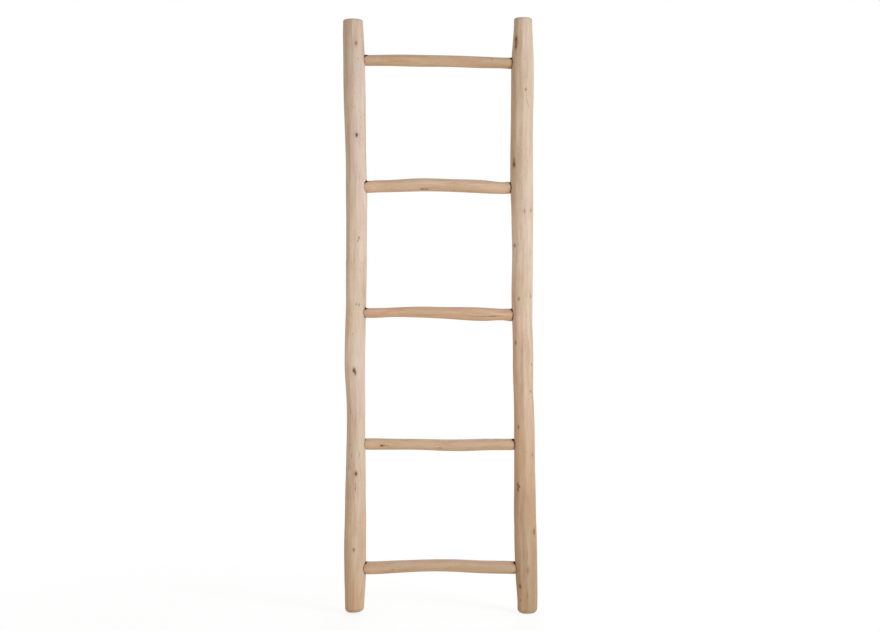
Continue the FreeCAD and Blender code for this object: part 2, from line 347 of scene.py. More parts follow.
def add(tree, kind, inputs=(), operation=None, stops=(), **settings):
    """Adds a node to a tree, sets it up, and fills or links its inputs, given by name or in order.
    Math stands for ShaderNodeMath and so on, and a node given as an input for its first output."""
    made = tree.nodes.new(kind if "Node" in kind else "ShaderNode" + kind)
    if operation:
        made.operation = operation
    for key, value in settings.items():
        setattr(made, key, value)
    for place, value in inputs.items() if isinstance(inputs, dict) else enumerate(inputs):
        value = value.outputs[0] if isinstance(value, bpy.types.Node) else value
        if isinstance(value, bpy.types.NodeSocket):
            tree.links.new(value, made.inputs[place])
        else:
            made.inputs[place].default_value = value
    for number, (place, colour) in enumerate(stops):
        points = made.color_ramp.elements
        point = points[number] if number < 2 else points.new(place)
        point.position = place
        point.color = linear(colour)
    return made


def new_object(name, data):
    """An object of a mesh, lamp or camera, in the scene."""
    made = bpy.data.objects.new(name, data)
    bpy.context.scene.collection.objects.link(made)
    return made


def store(mesh, name, values):
    """Keeps one number or one vector for each point of a mesh, as a named attribute."""
    values = np.asarray(values, float)
    kind, field = ("FLOAT_VECTOR", "vector") if values.ndim == 2 else ("FLOAT", "value")
    mesh.attributes.new(name, kind, "POINT").data.foreach_set(field, values.ravel())


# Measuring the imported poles


def eased(values, width, step):
    """A row of measures smoothed along the pole."""
    reach = int(3 * width / step) + 1
    kernel = np.exp(-0.5 * (np.arange(-reach, reach + 1) * step / width) ** 2)
    before = 2 * values[0] - values[reach:0:-1]
    after = 2 * values[-1] - values[-2:-reach - 2:-1]
    return np.convolve(np.concatenate([before, values, after]), kernel / kernel.sum(), "valid")


class Pole:
    """The line, thickness and reach of one packed pole, measured on its unbroken side."""

    def __init__(self, node, axis, open_side, step, ease, trim, skin_share):
        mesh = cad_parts[node].data
        points = [vertex.co.copy() for vertex in mesh.vertices]
        skin = BVHTree.FromPolygons(points, [face.vertices[:] for face in mesh.polygons])
        low, high = (np.array(corner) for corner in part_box(node))
        self.axis = axis
        self.sides = [i for i in (X, Y, Z) if i != axis]
        self.low, self.high = low[axis], high[axis]
        self.places = np.arange(self.low + trim, self.high - trim, step)
        turns = np.radians(np.arange(*open_side, MEASURE_TURN))
        rows = np.array([self.fit(skin, (low + high) / 2, place, turns) for place in self.places])
        self.a, self.b, self.radius = (eased(row, ease, step) for row in rows.T)
        self.radius = self.radius * skin_share

    def fit(self, skin, middle, place, turns):
        """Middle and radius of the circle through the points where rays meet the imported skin."""
        hits = []
        for turn in turns:
            ray = self.outward(turn)
            start = middle + ray * (self.high - self.low)
            start[self.axis] = place
            hit = skin.ray_cast(Vector(start), Vector(-ray))[0]
            if hit:
                hits.append([hit[i] for i in self.sides])
        flat = np.array(hits)
        rows = np.column_stack([2 * flat, np.ones(len(flat))])
        a, b, c = np.linalg.lstsq(rows, (flat ** 2).sum(1), rcond=None)[0]
        return a, b, math.sqrt(c + a * a + b * b)

    def outward(self, turn):
        """The way out of the pole at a turn round it."""
        way = np.zeros(3)
        way[self.sides] = math.cos(turn), math.sin(turn)
        return way

    def at(self, place):
        """The pole's middle in its section plane and its radius, at a place along it."""
        return [np.interp(place, self.places, row) for row in (self.a, self.b, self.radius)]

    def front_turn(self, degrees):
        """A turn counted from the front, to the right on a stile and upwards on a rung."""
        return math.radians(degrees - 90 if self.axis == Z else 180 - degrees)


# Round poles in mesh code


def turns_round(count):
    """Evenly spaced turns round a ring."""
    return np.arange(count) / count * math.tau


def cross_ring(axis, place, first, second):
    """A ring of points across an axis: their place along it and their two other coordinates."""
    ring = np.full((len(first), 3), place)
    ring[:, [i for i in (X, Y, Z) if i != axis]] = np.column_stack([first, second])
    return ring


def closed_rings(name, rings):
    """A closed mesh from rings of points, with a fan over each end."""
    count = len(rings[0])
    points = np.concatenate(rings + [[rings[0].mean(0)], [rings[-1].mean(0)]])
    first, last = len(points) - 2, len(points) - 1
    end = (len(rings) - 1) * count
    faces = []
    for i in range(count):
        j = (i + 1) % count
        faces.append((first, j, i))
        faces.append((last, end + i, end + j))
        for base in range(0, end, count):
            faces.append((base + i, base + j, base + count + j, base + count + i))
    mesh = bpy.data.meshes.new(name)
    mesh.from_pydata(points.tolist(), [], faces)
    mesh.polygons.foreach_set("use_smooth", [True] * len(faces))
    mesh.update()
    return mesh


def end_rows(end, inward, rounding):
    """Rings of a pole's end, from near its middle to where the full pole starts: place along the
    pole, inset from its skin, share of what is left, and how far the ring lies in the end face."""
    rows = [(end, rounding, ring / CAP_RINGS, 1.0) for ring in range(1, CAP_RINGS)]
    for ring in range(ROUND_RINGS + 1):
        bend = math.pi / 2 * ring / ROUND_RINGS
        place = end + inward * rounding * (1 - math.cos(bend))
        rows.append((place, rounding * (1 - math.sin(bend)), 1.0, math.cos(bend)))
    return rows


def pole_mesh(name, pole, ring_step, sides, low_round, high_round, grain_shift, depth_share=1.0):
    """A smooth round pole with rounded ends, and on it where each point lies in the wood."""
    first = pole.low + low_round + ring_step
    last = pole.high - high_round - ring_step / 2
    rows = end_rows(pole.low, 1, low_round)
    rows += [(place, 0.0, 1.0, 0.0) for place in np.arange(first, last, ring_step)]
    rows += end_rows(pole.high, -1, high_round)[::-1]
    turns = turns_round(sides)
    circle = np.column_stack([np.cos(turns), np.sin(turns)])
    rings, grain, ends = [], [], []
    for place, inset, share, end in rows:
        a, b, radius = pole.at(place)
        section = circle * (radius - inset) * share * (1.0, depth_share)
        rings.append(cross_ring(pole.axis, place, a + section[:, 0], b + section[:, 1]))
        grain.append(np.column_stack([section, np.full(sides, place + grain_shift)]))
        ends.append(np.full(sides, end))
    mesh = closed_rings(name, rings)
    tips = [[0, 0, pole.low + grain_shift], [0, 0, pole.high + grain_shift]]
    store(mesh, "grain", np.concatenate(grain + [tips]))
    store(mesh, "end", np.concatenate(ends + [[1.0, 1.0]]))
    return mesh


def mesh_points(mesh):
    """The places of a mesh's points, one row each."""
    places = np.zeros(len(mesh.vertices) * 3)
    mesh.vertices.foreach_get("co", places)
    return places.reshape(-1, 3)


def move_points(mesh, points):
    """Puts a mesh's points in new places."""
    mesh.vertices.foreach_set("co", points.ravel())
    mesh.update()


def lay_tones(mesh, pole, rows):
    """Keeps how much darker or paler a pole is drawn, from its broad soft patches, some of which are
    painted light and shade.
    """
    points = mesh_points(mesh)
    along = points[:, pole.axis]
    a, b = pole.at(along)[:2]
    turns = np.arctan2(points[:, pole.sides[1]] - b, points[:, pole.sides[0]] - a)
    tone = np.zeros(len(points))
    for place, degrees, length, width, share in rows:
        aside = (np.degrees(turns - pole.front_turn(degrees)) + 180) % 360 - 180
        tone += share * np.exp(-((along - place) / length) ** 2 - (aside / width) ** 2)
    store(mesh, "tone", tone)


def saw_off_square(mesh, pole):
    """Lifts one side of a foot, as a saw cut that ran out of square leaves it."""
    points = mesh_points(mesh)
    a, b, radius = pole.at(pole.low)
    aside, behind = points[:, X] - a, points[:, Y] - b
    reach = aside * math.cos(LEFT_FOOT_TURN) + behind * math.sin(LEFT_FOOT_TURN)
    lift = LEFT_FOOT_LIFT * np.clip(0.5 + 0.5 * reach / radius, 0, 1)
    points[:, Z] += lift * np.clip(1 - points[:, Z] / LEFT_FOOT_FADE, 0, 1)
    move_points(mesh, points)


def knot_points(name, pole, rows):
    """One point on the skin for each knot, with the way out there, the way round, its look and how
    far its dark streak runs."""
    spots = []
    kept = {"out": [], "round": [], "look": [], "tails": []}
    for place, degrees, size, dark, onward, back, kind in rows:
        turn = pole.front_turn(degrees)
        a, b, radius = pole.at(place)
        out = pole.outward(turn)
        spot = out * radius
        spot[pole.sides] += a, b
        spot[pole.axis] = place
        spots.append(spot.tolist())
        kept["out"].append(out)
        kept["round"].append((-math.sin(turn), math.cos(turn), 0))
        kept["look"].append((size * MM, dark, kind))
        kept["tails"].append((onward * MM, back * MM, 0))
    mesh = bpy.data.meshes.new(name)
    mesh.from_pydata(spots, [], [])
    for key, values in kept.items():
        store(mesh, key, values)
    return new_object(name, mesh)


# Small groups of nodes that the skin and the materials share


def strength(tree, *parts):
    """How strong something is: its parts multiplied together. A part is a number or a share, or a row
    of a pattern, where it starts, where it is full, and how strong it is there if that isn't one."""
    total = None
    for part in parts:
        if isinstance(part, tuple):
            pattern, start, full, most = (*part, 1.0)[:4]
            steps = [pattern, start, full, 0.0, most]
            part = add(tree, "MapRange", steps, interpolation_type="SMOOTHSTEP")
        if total is not None:
            part = add(tree, "Math", [total, part], "MULTIPLY")
        total = part
    return total


def squeezed_length(tree, vector, shares):
    """How long a vector is once each of its parts is held back by a share."""
    squeezed = add(tree, "VectorMath", [vector, shares], "MULTIPLY")
    return add(tree, "VectorMath", [squeezed], "LENGTH").outputs["Value"]


# The peeled skin, as a tree of geometry nodes


def peeled_skin_tree():
    """Raises the knife flats, ridges and knots of a pole and bends its grain round the knots."""
    tree = bpy.data.node_groups.new("peeled_skin", "GeometryNodeTree")
    sockets = {"Pole": "Geometry", "Knots": "Object", "Axis": "Vector", "Wood": "Material"}
    for name, value in SKIN_SIZES.items():
        sockets[name] = "Vector" if isinstance(value, tuple) else "Float"
    for name, kind in sockets.items():
        tree.interface.new_socket(name, in_out="INPUT", socket_type="NodeSocket" + kind)
    tree.interface.new_socket("Pole", in_out="OUTPUT", socket_type="NodeSocketGeometry")
    given = add(tree, "NodeGroupInput").outputs
    vector = {"data_type": "FLOAT_VECTOR"}
    here = add(tree, "GeometryNodeInputPosition")
    grain = add(tree, "GeometryNodeInputNamedAttribute", {"Name": "grain"}, **vector)
    end = add(tree, "GeometryNodeInputNamedAttribute", {"Name": "end"}, data_type="FLOAT")
    side = add(tree, "Math", [1.0, end], "SUBTRACT")

    # The nearest knot, and where this point lies from it: across the grain, along it and outwards
    knots = add(tree, "GeometryNodeObjectInfo", {"Object": given["Knots"]}).outputs["Geometry"]
    nearest = add(tree, "GeometryNodeSampleNearest", {"Geometry": knots, "Sample Position": here})
    found = {"spot": here}
    for name in ("out", "round", "look", "tails"):
        found[name] = add(tree, "GeometryNodeInputNamedAttribute", {"Name": name}, **vector)
    for name, value in found.items():
        picked = {"Geometry": knots, "Value": value, "Index": nearest}
        found[name] = add(tree, "GeometryNodeSampleIndex", picked, **vector)
    away = add(tree, "VectorMath", [here, found["spot"]], "SUBTRACT")
    sideways = add(tree, "VectorMath", [given["Axis"], found["out"]], "CROSS_PRODUCT")
    across, along, lift = (
        add(tree, "VectorMath", [away, way], "DOT_PRODUCT").outputs["Value"]
        for way in (sideways, given["Axis"], found["out"])
    )
    offset = add(tree, "CombineXYZ", [across, along, lift])
    size, _, kind = add(tree, "SeparateXYZ", [found["look"]]).outputs
    inverse = add(tree, "Math", [1.0, size], "DIVIDE")
    knot = add(tree, "VectorMath", {0: offset, "Scale": inverse}, "SCALE")
    kept_away = add(tree, "CombineXYZ", {2: squeezed_length(tree, knot, KNOT_OVAL)})
    tails = add(tree, "VectorMath", [found["tails"], kept_away], "ADD")

    # Bell-shaped shares round a knot: its heart, the swelling round it, and the bent grain
    swell_away = squeezed_length(tree, knot, KNOT_SWELL_OVAL)
    square = strength(tree, swell_away, swell_away)
    bells = []
    for reach in (KNOT_HEART_REACH, KNOT_SWELL_REACH, KNOT_GRAIN_REACH):
        power = strength(tree, square, -1 / reach ** 2)
        bells.append(strength(tree, add(tree, "Math", [power], "EXPONENT"), kind))
    heart, swelling, bending = bells
    heights = [
        strength(tree, swelling, given["Knot swell"], size), strength(tree, heart, given["Knot pit"], size),
    ]
    raised = strength(tree, add(tree, "Math", heights, "SUBTRACT"), side)

    # Clouds that say where the knife took more, and ridges along the pole
    patterns = []
    for size_name, detail in (("Patch size", 0.0), ("Ridge size", 1.0)):
        spread = add(tree, "VectorMath", [grain, given[size_name]], "DIVIDE")
        clouds = {"Vector": spread, "W": given["Seed"], "Scale": 1.0, "Detail": detail}
        patterns.append(add(tree, "TexNoise", clouds, noise_dimensions="4D"))
    patch, ridges = patterns

    # Long knife flats: the round section is cut towards a polygon whose corners wander along the pole
    section = add(tree, "SeparateXYZ", [grain]).outputs
    turn = add(tree, "Math", [section[1], section[0]], "ARCTAN2")
    flat_place = add(tree, "Math", [section[2], given["Flat length"]], "DIVIDE")
    swerving = {"W": flat_place, "Scale": 1.0, "Detail": 1.0}
    swerve = add(tree, "TexNoise", swerving, noise_dimensions="1D")
    wound = add(tree, "Math", [swerve, given["Flat wander"], turn], "MULTIPLY_ADD")
    half_angle = add(tree, "Math", [math.pi, given["Flat count"]], "DIVIDE")
    folded = add(tree, "Math", [wound, half_angle], "PINGPONG")
    cosines = [add(tree, "Math", [turned], "COSINE") for turned in (half_angle, folded)]
    polygon = add(tree, "Math", cosines, "DIVIDE")
    inset = add(tree, "Math", [polygon, 1.0], "SUBTRACT")
    shaving = [patch, *PATCH_RANGE, LEAST_FLAT_SHARE, given["Flat share"]]
    shaved = add(tree, "MapRange", shaving, interpolation_type="SMOOTHSTEP")
    cut = strength(tree, inset, squeezed_length(tree, grain, ACROSS_GRAIN), side)
    raised = add(tree, "Math", [cut, shaved, raised], "MULTIPLY_ADD")

    # The ridges fade out over the ends
    level = add(tree, "Math", [ridges, RIDGE_LEVEL], "SUBTRACT")
    depth = strength(tree, given["Ridge depth"], side)
    raised = add(tree, "Math", [level, depth, raised], "MULTIPLY_ADD")
    normal = add(tree, "GeometryNodeInputNormal")
    move = add(tree, "VectorMath", {0: normal, "Scale": raised}, "SCALE")

    # The grain flows round each knot
    pulled = strength(tree, across, bending, KNOT_GRAIN_PULL)
    bend = add(tree, "VectorMath", {0: found["round"], "Scale": pulled}, "SCALE")
    flowing = add(tree, "VectorMath", [grain, bend], "ADD")
    shape = given["Pole"]
    kept = {"knot": knot, "knot_look": found["look"], "knot_tails": tails, "grain": flowing}
    for name, value in kept.items():
        stored = {"Geometry": shape, "Name": name, "Value": value}
        shape = add(tree, "GeometryNodeStoreNamedAttribute", stored, domain="POINT", **vector)
    shape = add(tree, "GeometryNodeSetPosition", {"Geometry": shape, "Offset": move})
    shape = add(tree, "GeometryNodeRealizeInstances", {"Geometry": shape})
    shape = add(tree, "GeometryNodeSetMaterial", {"Geometry": shape, "Material": given["Wood"]})
    add(tree, "NodeGroupOutput", [shape])
    return tree


def finished_mesh(piece, name):
    """The plain mesh that a piece's modifiers give; the modifiers come off."""
    bpy.context.view_layer.update()
    graph = bpy.context.evaluated_depsgraph_get()
    mesh = bpy.data.meshes.new_from_object(piece.evaluated_get(graph), depsgraph=graph)
    mesh.name = name
    piece.modifiers.clear()
    return mesh


def peel(mesh, pole, tones, knot_rows, tree, wood):
    """A piece with its peeled skin, from a smooth pole, its tones and its knots."""
    lay_tones(mesh, pole, tones)
    piece = new_object(mesh.name, mesh)
    knots = knot_points(piece.name + "_knots", pole, knot_rows)
    way = [0.0, 0.0, 0.0]
    way[pole.axis] = 1.0
    given = {"Knots": knots, "Axis": way, "Wood": wood, **SKIN_SIZES}
    modifier = piece.modifiers.new("peeled_skin", "NODES")
    modifier.node_group = tree
    for item in tree.interface.items_tree:
        if item.in_out == "INPUT" and item.name in given:
            modifier[item.identifier] = given[item.name]
    piece.data = finished_mesh(piece, piece.name)
    bpy.data.objects.remove(knots)
    return piece


# Sockets


def socket_place(stile, rung, inward):
    """Where a rung enters a stile: the stile's skin, the socket's middle, its bore and its mouth."""
    end = rung.low if inward > 0 else rung.high
    y, z, tenon = rung.at(end + inward * TENON_REACH)
    middle, depth, stile_radius = stile.at(z)
    skin = middle + inward * math.sqrt(stile_radius ** 2 - (y - depth) ** 2)
    thick = rung.at(skin + inward * SHOULDER_REACH)[2]
    return skin, y, z, tenon + SOCKET_SLACK, thick + MOUTH_GAP


def socket_rows(stile, rung, inward):
    """Places along the dished hole that a rung's end sits in, with the hole's radius there."""
    end = rung.low if inward > 0 else rung.high
    skin, _, _, bore, mouth = socket_place(stile, rung, inward)
    rows = [(end - inward * TENON_ROUND, bore), (skin - inward * MOUTH_DEPTH, bore)]
    for deep, wide in MOUTH_DISH:
        rows.append((skin - inward * MOUTH_DEPTH * deep, bore + (mouth - bore) * wide))
    rows += [(skin, mouth), (skin + inward * SOCKET_OUTRUN, mouth + SOCKET_FLARE)]
    return sorted(rows)


def socket_edge(number, turns):
    """How a hole differs from a round one: a share of its radius, and the gap above the rung."""
    uneven = 1 + SOCKET_WOBBLE_SHARE * (np.sin(2 * turns + number) + np.sin(3 * turns))
    return uneven, MOUTH_TOP_GAP * np.clip(np.sin(turns), 0, 1) ** 3


def socket_cutter(name, stile, rung, inward, number):
    """The hole that a rung's end sits in, as a closed mesh to cut away."""
    y, z = socket_place(stile, rung, inward)[1:3]
    turns = turns_round(SOCKET_SIDES)
    uneven, opened = socket_edge(number, turns)
    rings = []
    for x, radius in socket_rows(stile, rung, inward):
        depth = y + radius * uneven * np.cos(turns)
        rings.append(cross_ring(X, x, depth, z + radius * uneven * np.sin(turns) + opened))
    return closed_rings(name, rings)


def peg_place(node):
    """A packed peg's middle to the side and in height, its radius, its tip and its head."""
    low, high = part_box(node)
    radius = (high[Z] - low[Z]) / 2
    return (low[X] + high[X]) / 2, (low[Z] + high[Z]) / 2, radius, low[Y], high[Y]


def peg_hole_cutter(name, node):
    """The round hole that a peg was driven into from behind, as a closed mesh to cut away."""
    x, z, radius, tip, head = peg_place(node)
    turns = turns_round(PEG_HOLE_SIDES)
    wide = x + (radius + PEG_HOLE_GAP) * np.sin(turns)
    high = z + (radius + PEG_HOLE_GAP) * np.cos(turns)
    return closed_rings(name, [cross_ring(Y, y, wide, high) for y in (tip, head + PEG_HOLE_OUTRUN)])


def lay_grime_and_shade(soil, away, share, corner):
    """Keeps how far each point lies from the nearest joint, in widths of its darkening, the share of
    darkening there, which is grime and painted shade, and how far it lies in the joint's upper corner."""
    nearer = away < soil[:, 0]
    for column, values in enumerate((away, share, corner)):
        soil[nearer, column] = np.broadcast_to(values, away.shape)[nearer]


def bore_holes(piece, stile, inward, pegs, line_shares, material):
    """Cuts the sockets and the peg holes out of a stile and marks the darkening round the sockets,
    partly grime and partly painted shade in the gap.
    """
    cutters = []
    for number, rung in enumerate(RUNG_POLES):
        cutters.append(socket_cutter(f"{piece.name}_socket_{number}", stile, rung, inward, number))
    cutters += [peg_hole_cutter(f"{peg}_hole", peg) for peg in pegs]
    for mesh in cutters:
        mesh.materials.append(material)
        cutter = new_object(mesh.name, mesh)
        modifier = piece.modifiers.new("hole", "BOOLEAN")
        modifier.operation = "DIFFERENCE"
        modifier.solver = "MANIFOLD"
        modifier.material_mode = "TRANSFER"
        modifier.object = cutter
        piece.data = finished_mesh(piece, piece.name)
        bpy.data.objects.remove(cutter)
    points = mesh_points(piece.data)
    soil = np.full((len(points), 3), (UNMARKED, 0, 0))
    for number, (rung, line) in enumerate(zip(RUNG_POLES, line_shares)):
        skin, y, z = socket_place(stile, rung, inward)[:3]
        places, radii = np.array(socket_rows(stile, rung, inward)).T
        uneven, opened = socket_edge(number, np.arctan2(points[:, Z] - z, points[:, Y] - y))
        rim = np.interp(points[:, X], places, radii) * uneven + opened
        out = np.hypot(points[:, Y] - y, points[:, Z] - z) - rim
        inner = (points[:, X] - skin) * inward > -MOUTH_DEPTH * 2
        # The line round each socket is partly grime and partly painted shade in the gap
        lay_grime_and_shade(soil, np.where(inner, out / DARK_LINE_WIDTH, UNMARKED), line, 0.0)
    store(piece.data, "soil", soil)


def darken_rung_ends(mesh, rung, left, right):
    """Marks the darkening on a rung where it meets the two stiles: a line round each end, partly grime
    and partly painted shade in the gap, and torn fibres that stand up in the corner on top, darkened
    with painted shade. Left and right hold the shares of both."""
    points = mesh_points(mesh)
    soil = np.full((len(points), 3), (UNMARKED, 0, 0))
    lift = np.zeros(len(points))
    for stile, inward, (share, line) in ((LEFT_POLE, 1, left), (RIGHT_POLE, -1, right)):
        z, _, mouth = socket_place(stile, rung, inward)[2:]
        middle, depth, stile_radius = stile.at(z)
        reach = np.sqrt(np.maximum(stile_radius ** 2 - (points[:, Y] - depth) ** 2, 0))
        out = (points[:, X] - middle) * inward - reach
        rise = np.clip((points[:, Z] - z) / mouth, 0, 1)
        corner = np.clip((rise - CORNER_START) / (CORNER_FULL - CORNER_START), 0, 1)
        # In the top corner the dark band widens into painted shade
        width = DARK_LINE_WIDTH / 2 + (CORNER_SHADE_WIDTH - DARK_LINE_WIDTH / 2) * corner * share
        lay_grime_and_shade(soil, out / width, line + (share - line) * corner, corner)
        lift += CORNER_LIFT * share * corner * np.exp(-(out / CORNER_LIFT_REACH) ** 2)
    points[:, Z] += lift
    move_points(mesh, points)
    store(mesh, "soil", soil)


# Pegs


def peg_mesh(name, node):
    """A peg in its packed place: eight flats with the corners eased, and the rim of its head pared."""
    x, z, radius, tip, head = peg_place(node)
    rows = [(tip, radius * PEG_TIP_SHARE), (tip + radius * PEG_POINT_SHARE, radius)]
    rows += [(head - PEG_RIM * back, radius - PEG_RIM * inside) for back, inside in PEG_RIM_STEPS]
    rows.append((head, (radius - PEG_RIM) * PEG_FACE_SHARE))
    turns = turns_round(PEG_SIDES * PEG_EASING)
    half = math.pi / PEG_SIDES
    corner = np.cos(half) / np.cos((turns + half) % (math.tau / PEG_SIDES) - half)
    rings = []
    for y, size in rows:
        wide = x + size * corner * np.sin(turns)
        rings.append(cross_ring(Y, y, wide, z + size * corner * np.cos(turns)))
    return closed_rings(name, rings)


# Materials


def new_finish(name):
    """A new material and its tree, still empty."""
    material = bpy.data.materials.new(name)
    material.use_nodes = True
    material.node_tree.nodes.clear()
    return material, material.node_tree


def grain_pattern(tree, coords, width, length, detail, roughness=CLOUD_ROUGHNESS):
    """A cloudy pattern drawn out along the grain, at real sizes."""
    scaled = add(tree, "VectorMath", [coords, (width, width, length)], "DIVIDE")
    clouds = {"Vector": scaled, "Scale": 1.0, "Detail": detail, "Roughness": roughness}
    return add(tree, "TexNoise", clouds)


def waves(tree, value, radians):
    """Waves along a value, so many radians for each unit of it."""
    return add(tree, "Math", [strength(tree, value, radians)], "SINE")


def stain(tree, colour, *rows, blend="MIX"):
    """A colour with tints laid over it, or multiplied into it, one after the other. Each row holds a
    tint and the parts of its strength."""
    for tint, *parts in rows:
        tint = linear(tint) if isinstance(tint, str) else tint
        inputs = {0: strength(tree, *parts), 6: colour, 7: tint}
        colour = add(tree, "Mix", inputs, data_type="RGBA", blend_type=blend).outputs[2]
    return colour


def bare_wood(tree, colour, rough, relief, bump_strength, bump_depth, shine=0.5):
    """Ends a tree as wood without a finish: its colour, roughness and the relief the light catches."""
    bumps = {"Strength": bump_strength, "Distance": bump_depth, "Height": relief}
    inputs = {
        "Base Color": colour, "Roughness": rough, "IOR": WOOD_IOR, "Specular IOR Level": shine,
        "Normal": add(tree, "Bump", bumps),
    }
    shader = add(tree, "BsdfPrincipled", inputs)
    add(tree, "OutputMaterial", {"Surface": shader})


def peeled_wood(name, tones, pale, dark, sawn, year, under=None):
    """Peeled branch wood, shaved and lightly sanded, bare: soft pale streaks along the pole, faint
    flame figure where the knife cut through the year rings, brown knots with thin dark tails, and
    ringed end grain. Tones are the colours from the foot of the ladder to its top, and under is what
    the underside of a rung is tinted with: painted warm light from below."""
    material, tree = new_finish(name)
    grain, knot, look, tails, soil = (
        add(tree, "Attribute", attribute_name=kept).outputs["Vector"]
        for kept in ("grain", "knot", "knot_look", "knot_tails", "soil")
    )
    tone, end = (
        add(tree, "Attribute", attribute_name=kept).outputs["Fac"] for kept in ("tone", "end")
    )
    place = add(tree, "TexCoord").outputs["Object"]
    height = add(tree, "SeparateXYZ", [place]).outputs[Z]
    height_share = add(tree, "Math", [height, CAD_BOX[1][Z]], "DIVIDE")

    # The grain wanders a few millimetres to the side along the pole
    drift = grain_pattern(tree, grain, *GRAIN_DRIFT).outputs["Color"]
    wander = add(tree, "VectorMath", [drift, DRIFT_REACH, grain], "MULTIPLY_ADD")
    further = add(tree, "VectorMath", [wander, OTHER_PLACE], "ADD")
    broad, streak, thin, fibre, pore = (
        grain_pattern(tree, wander, *sizes)
        for sizes in (BROAD_CLOUDS, PALE_STREAKS, THIN_LINES, FIBRES, PORES)
    )
    patch, flame = (grain_pattern(tree, further, *sizes) for sizes in (PATCH_CLOUDS, DARK_FLAMES))

    # Year rings cut through at a slant are contour lines of a slow swell of the wood
    contours = waves(tree, broad, FIGURE_RADIANS)
    pale_here = add(tree, "MapRange", [height_share, 0.1, 0.5, 0.35, 1.0])
    colour = add(tree, "ValToRGB", [height_share], stops=tones)
    clouds = ("#fff2fa", (broad, 0.46, 0.62, 0.65)), ("#f8f3e9", (patch, 0.46, 0.62, 0.60))
    colour = stain(tree, colour, *clouds, blend="MULTIPLY")
    colour = stain(
        tree, colour,
        (pale, (streak, 0.49, 0.70, 0.38), pale_here),
        (dark, (flame, 0.45, 0.30, 0.23)),
        (dark, (contours, -0.2, 1.0), (patch, 0.45, 0.65, 0.22)),
        (dark, (thin, 0.44, 0.25, 0.20)),
        (dark, (fibre, 0.47, 0.25, 0.30)),
        (dark, (pore, 0.36, 0.26, 0.5)),
    )

    # Broad patches, some of them painted light and shade, and the underside of a rung, tinted with
    # painted warm light from below
    patches = [(DARKER, tone), (PALER, tone, -1.0)]
    if under:
        rise = add(tree, "SeparateXYZ", [grain]).outputs[1]
        patches.append((under, (rise, UNDER_START, UNDER_FULL)))
    colour = stain(tree, colour, *patches, blend="MULTIPLY")

    # Small bruises: short dashes along the grain
    dash_place = add(tree, "VectorMath", [wander, BRUISE_SIZE], "DIVIDE")
    dash = add(tree, "TexVoronoi", {"Vector": dash_place, "Scale": 1.0}).outputs
    chance = add(tree, "SeparateColor", [dash["Color"]])
    bruise = ("#9a7654", (dash["Distance"], 0.2, 0.08, 0.55), (chance, 0.84, 0.90))
    colour = stain(tree, colour, bruise)

    # Knots: distance from the heart in knot radii, with a ragged edge
    size, darkness, kind = add(tree, "SeparateXYZ", [look]).outputs
    onward, back, kept_away = add(tree, "SeparateXYZ", [tails]).outputs
    inverse = add(tree, "Math", [1.0, size], "DIVIDE")
    rag_place = add(tree, "VectorMath", {0: grain, "Scale": inverse}, "SCALE")
    rag = add(tree, "TexNoise", {"Vector": rag_place, "Scale": 1.0, "Detail": 3.0})
    ragged = add(tree, "VectorMath", [rag.outputs["Color"], KNOT_RAG, knot], "MULTIPLY_ADD")
    centred = add(tree, "VectorMath", [ragged, KNOT_RAG_MIDDLE], "SUBTRACT")

    # Between two close knots the place runs through zero: there the kept distance counts instead
    from_heart = squeezed_length(tree, knot, KNOT_OVAL)
    fit = add(tree, "Math", [from_heart, kept_away], "DIVIDE")
    fits = strength(tree, (fit, 0.6, 0.95))
    choice = {0: fits, 2: kept_away, 3: squeezed_length(tree, centred, KNOT_OVAL)}
    away = add(tree, "Mix", choice, data_type="FLOAT")

    # The dark tail runs on and back along the grain and thins out; the heart is flecked
    across, along, outward = add(tree, "SeparateXYZ", [centred]).outputs
    along_m = strength(tree, along, size)
    ahead = add(tree, "Math", [along_m, onward], "DIVIDE")
    behind = strength(tree, add(tree, "Math", [along_m, back], "DIVIDE"), -1.0)
    reach = add(tree, "Math", [ahead, behind], "MAXIMUM")
    aside = add(tree, "Math", [across], "ABSOLUTE")
    flecks = add(tree, "TexNoise", {"Vector": grain, "Scale": 1 / KNOT_FLECK, "Detail": 1.0})
    flecked = add(tree, "MapRange", [flecks, 0.36, 0.56, 0.45, 1.0])
    rings = waves(tree, away, KNOT_RING_RADIANS)
    has_body = strength(tree, (kind, 0.1, 0.4))
    colour = stain(
        tree, colour,
        (dark, (away, 2.6, 1.0, 0.45), darkness, has_body),
        ("#80583a", (reach, 1.0, 0.1), (aside, 0.45, 0.08), (outward, -1.6, -0.8), darkness),
        ("#9d7048", (away, 1.2, 0.9, 0.85), darkness, has_body),
        ("#76502f", (rings, -0.3, 1.0, 0.6), (away, 1.2, 0.9), darkness, has_body),
        ("#3f2816", (away, 0.72, 0.42), flecked, darkness, (kind, 0.6, 0.9)),
    )

    # Grime and painted shade at the joints: a line round each, and painted shade in the corners on top,
    # with an edge that frays along the grain
    darkening_away, darkening_share, in_corner = add(tree, "SeparateXYZ", [soil]).outputs
    frayed = add(tree, "Math", [thin, DARK_EDGE_FRAY, darkening_away], "MULTIPLY_ADD")
    spots = add(tree, "TexNoise", {"Vector": place, "Scale": 1 / DARK_SPOT_SIZE})
    patchy = add(tree, "MapRange", [spots, 0.35, 0.65, 0.6, 1.1])
    laid = add(tree, "Mix", {0: in_corner, 2: patchy, 3: 1.0}, data_type="FLOAT")
    darkening_strength = strength(tree, (frayed, 1.8, 0.9), darkening_share, laid)
    darkened = strength(tree, (darkening_strength, 0.15, 0.9, 0.94))
    # The dark brown is grime on the lines round the joints and painted shade in their gaps and top corners
    colour = stain(tree, colour, ("#3a1f06", darkened))

